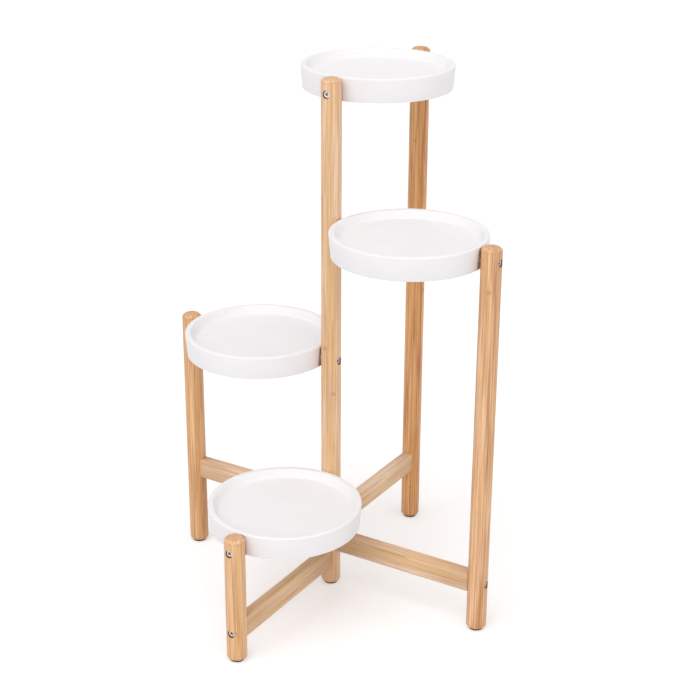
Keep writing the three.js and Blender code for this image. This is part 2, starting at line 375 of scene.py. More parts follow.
def build_bamboo():
    takes = {"Vector": VECTOR, "Grain": VECTOR, "Seed": 0.0, "Strip Width": 6 * MM,
             "Strip Breadth": 21 * MM, "Knuckle Spacing": 1500 * MM, "Light": COLOUR, "Dark": COLOUR,
             "Gold": COLOUR, "Fibre": COLOUR}
    gives = {"Color": COLOUR, "Roughness": FLOAT, "Height": FLOAT}
    w, take, give = new_tree("laminated_bamboo", "ShaderNodeTree", takes, gives)
    x, y, z = w.unpack(take["Vector"])
    share, chance = bamboo_strips(w, take, x, y)
    noise = streak_maker(w, take, chance)
    bands = noise(2.6 * MM, 130 * MM)
    streaks = noise(1.2 * MM, 70 * MM, 2.0)
    hairs = noise(0.3 * MM, 26 * MM, 2.0)
    glow = noise(5 * MM, 190 * MM)
    veins = w.between(noise(1.3 * MM, 90 * MM), 0.6, 0.68)
    dashes = w.between(noise(0.26 * MM, 7 * MM), 0.6, 0.72) * w.between(share, 0.0, 1.0, 0.25, 1.0)
    knuckle, line = bamboo_knuckles(w, take, chance, z)

    # The glue lines, and the end grain, where the surface looks along the grain.
    edge = w.math("MINIMUM", share, 1.0 - share)
    seam = w.between(edge * take["Strip Width"], 0.3 * MM, 0.1 * MM)
    normal = w.add("ShaderNodeTexCoord")["Normal"]
    along = w.math("ABSOLUTE", w.vector("DOT_PRODUCT", normal, take["Grain"])["Value"])
    end = w.between(along, 0.6, 0.9)
    brink = w.between(along, 0.03, 0.12) * w.between(along, 0.4, 0.2)

    # One tone from all the layers, then the gold, then the dark marks on top.
    slow = w.noise(take["Vector"], 1.0, (30, 30, 4))
    layers = ((chance["Value"], 0.0, 1.0, 0.42), (bands, 0.4, 0.6, 0.58), (streaks, 0.38, 0.62, 0.26),
              (hairs, 0.3, 0.7, 0.12), (slow, 0.35, 0.65, 0.16))
    tone = -0.3
    for layer, low, high, weight in layers:
        tone = w.between(layer, low, high) * weight + tone
    colour = w.blend(tone, take["Light"], take["Dark"])
    golden = w.between(glow, 0.38, 0.62) + (w.unpack(chance["Color"])[1] - 0.5)
    colour = w.blend(w.between(golden, 0.25, 1.0, 0.0, 0.75), colour, take["Gold"])
    for mark, strength in ((dashes, 0.35), (veins, 0.48), (knuckle, 0.25), (line, 0.3), (seam, 0.2),
                           (brink, 0.3)):
        colour = w.blend(mark * strength, colour, take["Fibre"])
    w.feed(give["Color"], w.blend(end * 0.28, colour, END_GRAIN))
    w.feed(give["Roughness"], w.between(streaks, 0.3, 0.7, 0.40, 0.52) + end * 0.22)
    w.feed(give["Height"], streaks * 0.5 + knuckle * 0.3 - seam * 0.35 - dashes * 0.25)
    return w.tree


BAMBOO = build_bamboo()
print(BAMBOO.name, "has", len(BAMBOO.nodes), "nodes")

# %% [markdown]
# ## From a group to a finish
#
# A group only works out masks and colours. The shader itself stays in the material, where its even
# values, such as the weight of the lacquer, sit on its own sockets. Each bamboo piece gets its own
# material, because the strips run along that piece, through its own middle, and every piece was cut
# from other strips.

# %% Materials from one shader each
def new_material(name, constants):
    """A material with one shader, whose even values are set on its own sockets."""
    material = bpy.data.materials.new(name)
    material.use_nodes = True
    shader = material.node_tree.nodes["Principled BSDF"]
    for label, value in constants.items():
        shader.inputs[label].default_value = value
    w = Wires(material.node_tree)
    return material, w, shader, w.add("ShaderNodeTexCoord")["Object"]


def feed_shader(w, shader, colour, roughness, height, depth):
    """Feeds a shader. The height runs from 0 to 1 and stands for a relief of a real depth."""
    normal = w.add("ShaderNodeBump", {"Height": height, "Distance": depth})[0]
    for label, value in (("Base Color", colour), ("Roughness", roughness), ("Normal", normal)):
        w.feed(shader.inputs[label], value)


print("material helpers ready")

# %% Bamboo on a piece
PALE_CANE = {"Light": (0.90, 0.615, 0.40), "Dark": (0.56, 0.28, 0.12), "Gold": (0.79, 0.465, 0.195)}
AMBER_CANE = {"Light": (0.90, 0.47, 0.18), "Dark": (0.34, 0.10, 0.02), "Gold": (0.70, 0.30, 0.05)}
BAMBOO_FIBRE = (0.34, 0.15, 0.05, 1)
# Painted shade: the drilled holes and their lips are painted a dark burnt brown. It stands for the shade
# inside them, over a little real scorching from the drill.
BURN_AND_HOLE_SHADE = (0.24, 0.10, 0.045, 1)
DRILLED = "drilled"  # one in a drilled hole, zero on the outside of the wood
WOOD_RELIEF = 0.07 * MM


def cane_colour(label, amber):
    """A colour between pale cane (0) and amber cane (1). Below 0 it is paler still."""
    pair = zip(PALE_CANE[label], AMBER_CANE[label])
    return tuple(pale + amber * (deep - pale) for pale, deep in pair) + (1,)


def bamboo_material(name, centre, grain, side, seed, strip_width, amber):
    """Bamboo whose strips run along the grain and lie next to each other towards the side."""
    material, w, shader, place = new_material(name, {"Coat Weight": 0.1, "Coat Roughness": 0.3})
    turn = Matrix((side, grain.cross(side), grain))
    mapping = {"Vector": place, "Rotation": turn.to_euler("XYZ"), "Location": -(turn @ centre)}
    values = {"Vector": w.add("ShaderNodeMapping", mapping)[0], "Grain": grain, "Seed": seed,
              "Strip Width": strip_width, "Fibre": BAMBOO_FIBRE}
    for label in PALE_CANE:
        values[label] = cane_colour(label, amber)
    wood = w.group(BAMBOO, values)
    # The drilled points take the painted shade of the holes, a dark brown over a little real drill burn.
    drilled = w.add("ShaderNodeAttribute", attribute_name=DRILLED)["Fac"]
    colour = w.blend(drilled, wood["Color"], BURN_AND_HOLE_SHADE)
    feed_shader(w, shader, colour, wood["Roughness"], wood["Height"], WOOD_RELIEF)
    return material


print("bamboo material ready")

# %% [markdown]
# ## White plastic, steel, brass and rubber
#
# The trays are moulded, so their white is never quite even: it is a little warmer in some places, and
# the skin has the fine ripple of the mould. The screws and inserts are turned parts, so their marks
# run round their own axis. Every turned part carries its own place as an attribute, which the metal
# reads to find that axis.

# %% Tray plastic
OWN_PLACE = "place_on_part"
WHITE_COOL = (0.89, 0.875, 0.89, 1)
WHITE_WARM = (0.88, 0.86, 0.87, 1)
DUST_COLOUR = (0.62, 0.58, 0.53, 1)
# A brown painted shadow, for the narrow crevice where a tray's skirt meets a post.
CREVICE_SHADE_BROWN = (0.30, 0.15, 0.09, 1)
PLASTIC_RELIEF = 0.015 * MM


def place_on_part(w):
    return w.add("ShaderNodeAttribute", attribute_name=OWN_PLACE)["Vector"]


def crevice_shade_mask(w):
    """A mask of painted shade: a brown shadow on the two spots of a tray's skirt that sit against the
    posts.
    """
    x, y, z = w.unpack(place_on_part(w))
    out = w.between(w.math("ABSOLUTE", x), TRAY_RADIUS - 6 * MM, TRAY_RADIUS - 3 * MM)
    beside = w.between(w.math("ABSOLUTE", y), 8 * MM, 5.5 * MM)
    below = w.between(z, TRAY_HEIGHT - 1.5 * MM, TRAY_HEIGHT - 4 * MM)
    return out * beside * (below * 0.8)


def plastic_material():
    material, w, shader, place = new_material("white_tray_plastic", {"Specular IOR Level": 0.22})
    cloud = w.noise(place, 2.0, (22, 22, 30))
    ripple = w.noise(place, 2.0, (900, 900, 900))
    swirl = w.noise(place, 3.0, (150, 150, 60))
    scuff = w.group(SCUFFS, {"Vector": place})["Mask"]
    dust = w.group(DUST, {"Vector": place})["Mask"]
    colour = w.blend(w.between(cloud, 0.35, 0.65), WHITE_COOL, WHITE_WARM)
    colour = w.blend(dust * 0.025, colour, DUST_COLOUR)
    # Painted shade: the skirt beside each post takes a brown shadow, as in the crevice there.
    colour = w.blend(crevice_shade_mask(w), colour, CREVICE_SHADE_BROWN)
    roughness = w.between(swirl, 0.3, 0.7, 0.46, 0.54) + scuff * 0.1
    feed_shader(w, shader, colour, roughness, ripple - scuff * 0.3, PLASTIC_RELIEF)
    return material


TRAY_PLASTIC = plastic_material()
print(TRAY_PLASTIC.name)

# %% Turned metal and rubber
GREASE = (0.05, 0.045, 0.04, 1)
METAL_RELIEF = 0.01 * MM
RUBBER_RELIEF = 0.05 * MM


def metal_material(name, bright, dull, roughness, grease=0.0):
    """Metal turned on a lathe, with fine rings round its own axis, and grease in a hollow head."""
    material, w, shader, place = new_material(name, {"Metallic": 1.0})
    own = place_on_part(w)
    x, y, z = w.unpack(own)
    radius = w.math("SQRT", w.math("POWER", x, 2.0) + w.math("POWER", y, 2.0))
    rings = w.noise(w.pack(radius / (0.09 * MM), z / (0.2 * MM), 0.0), 2.0)
    stain = w.noise(own, 2.0, (400, 400, 400))
    scuff = w.group(SCUFFS, {"Vector": place, "Length": 3 * MM, "Width": 0.08 * MM})["Mask"]
    colour = w.blend(w.between(stain, 0.35, 0.7), bright, dull)
    if grease:
        deep = w.between(z, -1.4 * MM, -2.6 * MM) * w.between(z, -5.5 * MM, -4.5 * MM)
        hollow = deep * w.between(radius, 3.1 * MM, 2.95 * MM)
        colour = w.blend(hollow * grease, colour, GREASE)
    rough = w.between(rings, 0.3, 0.7, roughness, roughness + 0.12) + scuff * 0.15
    feed_shader(w, shader, colour, rough, rings + scuff * 0.5, METAL_RELIEF)
    return material


def rubber_material():
    material, w, shader, place = new_material("dark_foot_rubber", {"Specular IOR Level": 0.35})
    grain = w.noise(place, 2.0, (1500, 1500, 1500))
    cloud = w.noise(place, 2.0, (120, 120, 120))
    dust = w.group(DUST, {"Vector": place})["Mask"]
    colour = w.blend(cloud, (0.030, 0.027, 0.025, 1), (0.052, 0.046, 0.042, 1))
    colour = w.blend(dust * 0.3, colour, DUST_COLOUR)
    feed_shader(w, shader, colour, w.between(grain, 0.3, 0.7, 0.7, 0.85), grain, RUBBER_RELIEF)
    return material


BOLT_STEEL = metal_material("zinc_bolt_steel", (0.93, 0.92, 0.91, 1), (0.76, 0.76, 0.76, 1), 0.26, 0.7)
INSERT_BRASS = metal_material("turned_insert_brass", (0.79, 0.60, 0.29, 1), (0.63, 0.45, 0.20, 1), 0.28)
PAD_RUBBER = rubber_material()
print(BOLT_STEEL.name, INSERT_BRASS.name, PAD_RUBBER.name)

# %% [markdown]
# ## From a mesh to a piece of the stand
#
# Every finished piece sits at the origin with its place in its mesh, so that a pattern on Object
# coordinates stays on the wood when the piece moves. One helper closes a mesh and turns its faces
# outwards. Another gives it its finish, the body that it moves with and the solids it stands for.

# %% Helpers for meshes
MERGE = 0.001 * MM


def join_loops(faces, first, second):
    """Adds the band of faces between two loops that have the same number of points."""
    for a, b, c, d in zip(first, first[1:] + first[:1], second[1:] + second[:1], second):
        faces.append((a, b, c, d))


def closed_mesh(name, points, faces, drilled=()):
    """A mesh with its doubles merged, its faces outwards, and its drilled points marked."""
    mesh = bpy.data.meshes.new(name)
    mesh.from_pydata(points, [], faces)
    marked = mesh.attributes.new(DRILLED, "FLOAT", "POINT")
    for index in drilled:
        marked.data[index].value = 1
    work = bmesh.new()
    work.from_mesh(mesh)
    bmesh.ops.remove_doubles(work, verts=work.verts, dist=MERGE)
    bmesh.ops.recalc_face_normals(work, faces=work.faces)
    work.to_mesh(mesh)
    work.free()
    return mesh


def plain_mesh(name, holder, *tools):
    """The mesh that an object's modifiers make. The object and its tools are then removed."""
    graph = bpy.context.evaluated_depsgraph_get()
    mesh = bpy.data.meshes.new_from_object(holder.evaluated_get(graph))
    mesh.name = name
    for thing in (holder, *tools):
        bpy.data.objects.remove(thing)
    return mesh


print("mesh helpers ready")

# %% Helper for finished pieces
SHARP_TURN = math.radians(35)  # an edge that turns further than this stays sharp


def dress(name, mesh, material, body, nodes):
    """Puts a mesh on the stand as a finished piece, in place of the plain solids."""
    mesh.materials.clear()
    mesh.materials.append(material)
    mesh.shade_smooth()
    mesh.set_sharp_from_angle(angle=SHARP_TURN)
    piece = put_in_scene(name, mesh)
    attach(piece, body)
    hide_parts(*nodes)
    print(f"{name}: {sum(len(face.vertices) - 2 for face in mesh.polygons)} triangles on {body}")


print("finishing helper ready")

# %% [markdown]
# ## Posts with real bolt holes
#
# Each post is a round stick with turned ends, and every bolt goes right through it. The head sits in a
# wide mouth, and the shank leaves on the other side. A boolean could cut these holes, but it leaves
# long thin faces on the round wall, which show as dents in a smooth shade. Here the wall is a grid. Its
# rows crowd round each hole, a square patch of cells is left out, and loops of points lead from the
# edge of the patch, over a small rounded lip, down the hole and out again at the back.

# %% Loops through a hole
POST_COLUMNS = 96
PATCH = 8  # columns, and rows, from the middle of a hole to the edge of its patch
COLUMN_TURN = 2 * math.pi / POST_COLUMNS
ROW_STEP = POST_RADIUS * math.sin(PATCH * COLUMN_TURN) / PATCH
LIP = 0.35 * MM
LIP_ANGLES = [math.radians(angle) for angle in (30, 60, 90)]
FLAT_SHARES = (0.35, 0.7, 1.0)  # of the way from the edge of a patch to the lip
FLAT_LOOPS = len(FLAT_SHARES)


def ring(radius):
    """Points round a hole, as places across and up."""
    turns = [2 * math.pi * step / (8 * PATCH) for step in range(8 * PATCH)]
    return [(radius * math.cos(turn), radius * math.sin(turn)) for turn in turns]


def patch_edge():
    """The grid corners round a patch, from the middle of its right side, as columns and rows."""
    side = [(PATCH, up) for up in range(-PATCH, PATCH)]
    loop = []
    for quarter in range(4):
        loop += side
        side = [(-up, across) for across, up in side]
    return loop[PATCH:] + loop[:PATCH]


def mouth(radius, side):
    """Loops from the edge of a patch over the lip of a hole, on the head's side (1) or the far one."""
    edge = [(POST_RADIUS * math.sin(across * COLUMN_TURN), up * ROW_STEP) for across, up in patch_edge()]
    wide = ring(radius + LIP)
    flat = []
    for share in FLAT_SHARES:
        flat.append(([(a + share * (c - a), b + share * (d - b)) for (a, b), (c, d) in zip(edge, wide)], 0))
    for angle in LIP_ANGLES:
        flat.append((ring(radius + LIP * (1 - math.sin(angle))), LIP * (1 - math.cos(angle))))
    return [[(a, b, side * (math.sqrt(POST_RADIUS**2 - a * a) - drop)) for a, b in loop]
            for loop, drop in flat]


def hole_loops():
    """All loops of one hole, from the head's side to the far side, as across, up and out."""
    step = [[(a, b, COUNTERBORE_FLOOR) for a, b in ring(radius)] for radius in (COUNTERBORE, SHANK_HOLE)]
    return mouth(COUNTERBORE, 1) + step + mouth(SHANK_HOLE, -1)[::-1]


print(f"a hole has {len(hole_loops())} loops of {len(patch_edge())} points")

# %% The rows of a post
EDGE_STEPS = 4
EDGE_SOFTNESS = 3 * MM  # radius of the two small curves beside the slope of a post's end
CAP_BORDER = 0.6 * MM  # keeps the flat of a post's end flat to its rim


def edge_shape():
    """The end of a post, from its flat to its side: a slope with a small curve on either side."""
    turns = [math.pi / 4 * step / EDGE_STEPS for step in range(EDGE_STEPS + 1)]
    curve = [(EDGE_SOFTNESS * math.sin(turn), EDGE_SOFTNESS * (1 - math.cos(turn))) for turn in turns]
    reach = EDGE_SOFTNESS * math.tan(math.pi / 8)
    flat = POST_RADIUS - POST_EDGE - reach
    shape = [(flat - CAP_BORDER, 0)] + [(flat + along, rise) for along, rise in curve]
    return shape + [(POST_RADIUS - rise, POST_EDGE + reach - along) for along, rise in curve[::-1]]


def post_rows(top, heights):
    """The radius and height of each row of a post's grid, and the middle row of each hole."""
    shape = edge_shape()
    rows = [(radius, POST_FOOT + rise) for radius, rise in shape]
    middles = []
    for height in heights:
        middles.append(len(rows) + PATCH)
        rows += [(POST_RADIUS, height + up * ROW_STEP) for up in range(-PATCH, PATCH + 1)]
    return rows + [(radius, top - rise) for radius, rise in shape[::-1]], middles


print("each end of a post has", len(edge_shape()), "rows")

# %% The mesh of a post
def drilled_post(name, centre, top, holes):
    """A turned post with its holes, each given by its height and the way that its head faces."""
    rows, middles = post_rows(top, [height for height, turn in holes])
    points, faces, corners, left_out, drilled = [], [], {}, set(), []

    def corner(column, row):
        key = (column % POST_COLUMNS, row)
        if key not in corners:
            radius, height = rows[row]
            turn = key[0] * COLUMN_TURN
            corners[key] = len(points)
            points.append((radius * math.cos(turn), radius * math.sin(turn), height))
        return corners[key]

    for (height, turn), row in zip(holes, middles):
        head = round(turn / COLUMN_TURN)
        back = head + POST_COLUMNS // 2
        for column in (head, back):
            cells = [(across, up) for across in range(-PATCH, PATCH) for up in range(-PATCH, PATCH)]
            left_out.update(((column + across) % POST_COLUMNS, row + up) for across, up in cells)
        out, side = (math.cos(turn), math.sin(turn)), (-math.sin(turn), math.cos(turn))
        chain = [[corner(head + across, row + up) for across, up in patch_edge()]]
        loops = hole_loops()
        for number, loop in enumerate(loops):
            chain.append(list(range(len(points), len(points) + len(loop))))
            # The loops from the lip inwards are marked, so that they take the painted shade of the hole.
            if FLAT_LOOPS <= number < len(loops) - FLAT_LOOPS:
                drilled += chain[-1]
            points += [(o * out[0] + a * side[0], o * out[1] + a * side[1], height + b) for a, b, o in loop]
        chain.append([corner(back - across, row + up) for across, up in patch_edge()])
        for first, second in zip(chain, chain[1:]):
            join_loops(faces, first, second)

    for row in range(len(rows) - 1):
        for column in range(POST_COLUMNS):
            if (column, row) not in left_out:
                low, high = corner(column, row), corner(column, row + 1)
                faces.append((low, corner(column + 1, row), corner(column + 1, row + 1), high))
    for row in (0, len(rows) - 1):
        points.append((0, 0, rows[row][1]))
        for column in range(POST_COLUMNS):
            faces.append((len(points) - 1, corner(column, row), corner(column + 1, row)))
    mesh = closed_mesh(name, points, faces, drilled)
    mesh.transform(Matrix.Translation(centre))
    return mesh


print("posts can be drilled")

# %% Make the five posts
GRAIN_UP = Vector((0, 0, 1))
POST_STRIP = 6.4 * MM
POST_AMBER = {1: 0.2, 2: 0.42, 3: 0.3, 4: 0.8}  # how amber each outer post is; the one behind is darkest
CENTRE_AMBER = -0.15
POST_SEED = {1: 18.37, 2: 24.21, 3: 23.2, 4: 27.67}  # each seed cuts a post from other strips
CENTRE_SEED = 5.83
POST_SIDE = {tier: 24 + 5 * tier for tier in TIERS}  # degrees about Z, the way its strips lie side by side
CENTRE_SIDE = 28


def level(degrees):
    """A level direction, turned about Z from +X."""
    return Vector((math.cos(math.radians(degrees)), math.sin(math.radians(degrees)), 0))


def make_post(node, name, holes, seed, side, amber):
    centre = middle(node)
    centre.z = 0
    mesh = drilled_post(name, centre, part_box(node)[1].z, sorted(holes))
    finish = bamboo_material(name, centre, GRAIN_UP, level(side), seed, POST_STRIP, amber)
    dress(name, mesh, finish, "stand", [node])


centre_holes = []
for tier in TIERS:
    for kind in ("tray", "rail"):
        centre_holes.append((middle(f"{kind}_bolt_center_{tier}").z, arm_turn(tier) + math.pi))
make_post("center_post", "post_center_bamboo", centre_holes, CENTRE_SEED, CENTRE_SIDE, CENTRE_AMBER)
for tier in TIERS:
    node, name = f"outer_post_{tier}", f"post_outer_{tier}_bamboo"
    holes = [(middle(f"{kind}_bolt_outer_{tier}").z, arm_turn(tier)) for kind in ("tray", "rail")]
    make_post(node, name, holes, POST_SEED[tier], POST_SIDE[tier], POST_AMBER[tier])

# %% [markdown]
# ## Rails that fit round the posts
#
# A rail is a flat bar with rounded edges, and its two ends are hollowed to hug the round posts. The
# outline is stretched along the arm, and each of its points stops where the post begins, so the hollow
# is exact. The outline shrinks a little in a few steps at each end, which breaks the sharp edge as a
# pass of sandpaper would. Only the two blind holes for the inserts are cut by a boolean, because they
# lie in the hollow ends, where the posts cover what it leaves.

# %% The shape of a rail
RAIL_EDGE = 3.5 * MM
RAIL_BREAK = 0.5 * MM
BREAK_ANGLES = [math.radians(angle) for angle in (90, 60, 30, 0)]
RAIL_ARC_STEPS = 5
RAIL_FLAT_STEPS = 6


def rail_outline(inset):
    """Half the outline of a rail's section: each place across, with its height above the middle."""
    flat = RAIL_THICKNESS / 2 - RAIL_EDGE
    radius = RAIL_EDGE - inset
    turns = [math.pi / 2 * step / RAIL_ARC_STEPS for step in range(RAIL_ARC_STEPS + 1)]
    right = [(flat + radius * math.sin(turn), radius * math.cos(turn)) for turn in turns]
    inner = [(flat * step / (RAIL_FLAT_STEPS / 2), radius) for step in range(-2, 3)]
    left = [(-across, rise) for across, rise in right[::-1]]
    rise_from = RAIL_HEIGHT / 2 - RAIL_EDGE
    return [(across, rise_from + rise) for across, rise in left + inner + right]


def rail_bar(name):
    """The bar of a rail along +X, from the centre post to the outer one, before it is drilled."""
    points, loops, faces = [], [], []
    ends = [(turn, 0, 1) for turn in BREAK_ANGLES] + [(turn, ARM_REACH, -1) for turn in BREAK_ANGLES[::-1]]
    for turn, post_place, side in ends:
        half = rail_outline(RAIL_BREAK * (1 - math.cos(turn)))
        pulled = RAIL_BREAK * (1 - math.sin(turn))
        loops.append(list(range(len(points), len(points) + 2 * len(half))))
        for across, rise in half + [(across, -rise) for across, rise in half[::-1]]:
            hollow = math.sqrt((POST_RADIUS + CONTACT_GAP) ** 2 - across**2)
            points.append((post_place + side * (hollow + pulled), across, rise))
    for first, second in zip(loops, loops[1:]):
        join_loops(faces, first, second)
    for loop in (loops[0], loops[-1]):
        for step in range(len(loop) // 2 - 1):
            faces.append((loop[step], loop[step + 1], loop[-step - 2], loop[-step - 1]))
    return closed_mesh(name, points, faces)


print("the section of a rail has", 2 * len(rail_outline(0)), "points")

# %% Make the four rails
RAIL_STRIP = 8.5 * MM
RAIL_AMBER = -0.45  # rails are planed, and paler than the turned posts
RAIL_SEED = {tier: 7.7 * tier + 0.4 for tier in TIERS}
RAIL_HOLE_REACH = POST_RADIUS + CONTACT_GAP + INSERT_HOLE_DEPTH


def rail_drill():
    """Two round bars, where the blind holes of a rail are."""
    mesh = bpy.data.meshes.new("drill")
    work = bmesh.new()
    for place in (0, ARM_REACH):
        lie = Matrix.Translation((place, 0, 0)) @ Matrix.Rotation(math.pi / 2, 4, "Y")
        bmesh.ops.create_cone(work, cap_ends=True, segments=ROUND_SIDES, radius1=INSERT_HOLE,
                              radius2=INSERT_HOLE, depth=2 * RAIL_HOLE_REACH, matrix=lie)
    work.to_mesh(mesh)
    work.free()
    return mesh


def rail_mesh(name, tier):
    """A drilled rail, at its height and on its arm."""
    bar = put_in_scene("bar", rail_bar(name))
    drill = put_in_scene("drill", rail_drill())
    modifier = bar.modifiers.new("cut", "BOOLEAN")
    modifier.operation, modifier.solver, modifier.object = "DIFFERENCE", "MANIFOLD", drill
    mesh = plain_mesh(name, bar, drill)
    mesh.transform(arm_frame(tier, 0, middle(f"rail_{tier}").z))
    return mesh


for tier in TIERS:
    node, name = f"rail_{tier}", f"rail_{tier}_bamboo"
    lie = middle(node), on_arm(tier, 1, 0), GRAIN_UP
    finish = bamboo_material(name, *lie, RAIL_SEED[tier], RAIL_STRIP, RAIL_AMBER)
    dress(name, rail_mesh(name, tier), finish, "stand", [node])

# %% [markdown]
# ## Turning on a lathe, with Geometry Nodes
#
# Trays, bolts, inserts and pads are all round, and each kind repeats, so Geometry Nodes make them. The
# rule is that of a lathe. A flat grid has one row for each point of a profile and one column for each
# step round the axis. A point's number gives its row and column, the row gives a radius and a height,
# and the column gives an angle. Wrapping the grid brings its first and last column together, and
# merging them closes the shape.

# %% Lathe helpers
def turning_grid(w, rows, columns):
    """A grid to be wrapped, with the row, the column and the angle of each of its points."""
    grid = w.add("GeometryNodeMeshGrid", {"Vertices X": columns + 1, "Vertices Y": rows})["Mesh"]
    index = w.add("GeometryNodeInputIndex")[0]
    column = w.math("FLOOR", (index + 0.5) / rows)
    return grid, w.math("MODULO", index, rows), column, column * (2 * math.pi) / columns


def wrap(w, grid, angle, radius, height):
    """Wraps a grid round the Z axis and closes it."""
    place = w.pack(radius * w.math("COSINE", angle), radius * w.math("SINE", angle), height)
    moved = w.add("GeometryNodeSetPosition", {"Geometry": grid, "Position": place})[0]
    return w.add("GeometryNodeMergeByDistance", {"Geometry": moved, "Distance": MERGE})[0]


def keep_place(w, geometry):
    """Stores each point's place on the part, before the part is moved to where it belongs."""
    stored = {"Geometry": geometry, "Name": OWN_PLACE, "Value": w.add("GeometryNodeInputPosition")[0]}
    return w.add("GeometryNodeStoreNamedAttribute", stored, data_type="FLOAT_VECTOR", domain="POINT")[0]


def finish_tree(w, give, geometry, material):
    """Ends a tree: real faces, with their material."""
    real = w.add("GeometryNodeRealizeInstances", {"Geometry": geometry})[0]
    w.feed(give[0], w.add("GeometryNodeSetMaterial", {"Geometry": real, "Material": material})[0])


def grow(name, tree, start, settings):
    """The plain mesh that a tree makes from a starting mesh, with its named inputs set."""
    holder = put_in_scene(name, start)
    modifier = holder.modifiers.new(name, "NODES")
    modifier.node_group = tree
    for item in tree.interface.items_tree:
        if item.item_type == "SOCKET" and item.name in settings:
            modifier[item.identifier] = settings[item.name]
    return plain_mesh(name, holder)


print("lathe helpers ready")

# %% [markdown]
# ## The trays
#
# A tray is one moulding: a shallow dish with a soft rim, and a thin skirt that comes down round it and
# leans in a little, so that it leaves its mould. Underneath it is hollow. Four ribs cross below the
# dish, and two bosses behind the skirt hold the brass inserts. The dish and skirt are one profile,
# turned by the lathe rule, and the ribs, bosses and insert holes are added to it and cut from it.

# %% The profile of a tray
TRAY_TAPER = 2.5 * MM
TRAY_WALL = 2.6 * MM
TRAY_FLOOR = 3 * MM
RIM_WIDTH = 8 * MM
RIM_EDGE = 2.5 * MM
DISH_DEPTH = 12 * MM
DISH_WALL_RUN = 6 * MM
DISH_FILLET = 4 * MM
SKIRT_EDGE = 0.8 * MM
BOSS_END = 2.5 * MM
FLAT_BORDER = 1 * MM  # keeps a flat face flat up to the curve beside it

dish_slope = DISH_WALL_RUN / DISH_DEPTH
dish_floor = TRAY_HEIGHT - DISH_DEPTH
dish_mouth = TRAY_RADIUS - RIM_WIDTH


def arc(across, height, radius, start, end, steps):
    """Points of an arc in a profile, with its angles in degrees."""
    turns = [math.radians(start + (end - start) * step / steps) for step in range(steps + 1)]
    return [(across + radius * math.cos(turn), height + radius * math.sin(turn)) for turn in turns]


def beside_dish_wall(height, away):
    """How far out a centre lies that is away from the sloping wall of the dish."""
    return dish_mouth - dish_slope * (TRAY_HEIGHT - height) + away * math.hypot(1, dish_slope)


def tray_profile():
    """The outline of a tray, from the middle of its underside, round the skirt, to the dish."""
    lean = math.degrees(math.atan(dish_slope))
    under_dish, under_rim = dish_floor - TRAY_FLOOR, TRAY_HEIGHT - TRAY_FLOOR
    wall_under = dish_mouth - DISH_WALL_RUN + TRAY_WALL
    foot = TRAY_RADIUS - TRAY_TAPER
    rim = TRAY_HEIGHT - RIM_EDGE
    bowl = dish_floor + DISH_FILLET
    profile = [(0, under_dish), (wall_under - FLAT_BORDER, under_dish), (wall_under, under_dish)]
    profile += [(wall_under + DISH_WALL_RUN, under_rim), (TRAY_RADIUS - TRAY_WALL, under_rim)]
    profile += arc(foot - TRAY_WALL + SKIRT_EDGE, SKIRT_EDGE, SKIRT_EDGE, 180, 270, 4)
    profile += arc(foot - SKIRT_EDGE, SKIRT_EDGE, SKIRT_EDGE, -90, 0, 4)
    profile += arc(TRAY_RADIUS - RIM_EDGE, rim, RIM_EDGE, 0, 90, 8)
    profile += arc(beside_dish_wall(rim, RIM_EDGE), rim, RIM_EDGE, 90, 180 - lean, 6)
    profile += arc(beside_dish_wall(bowl, -DISH_FILLET), bowl, DISH_FILLET, -lean, -90, 6)
    return profile + [(profile[-1][0] - FLAT_BORDER, dish_floor), (0, dish_floor)]


print("the profile of a tray has", len(tray_profile()), "points")


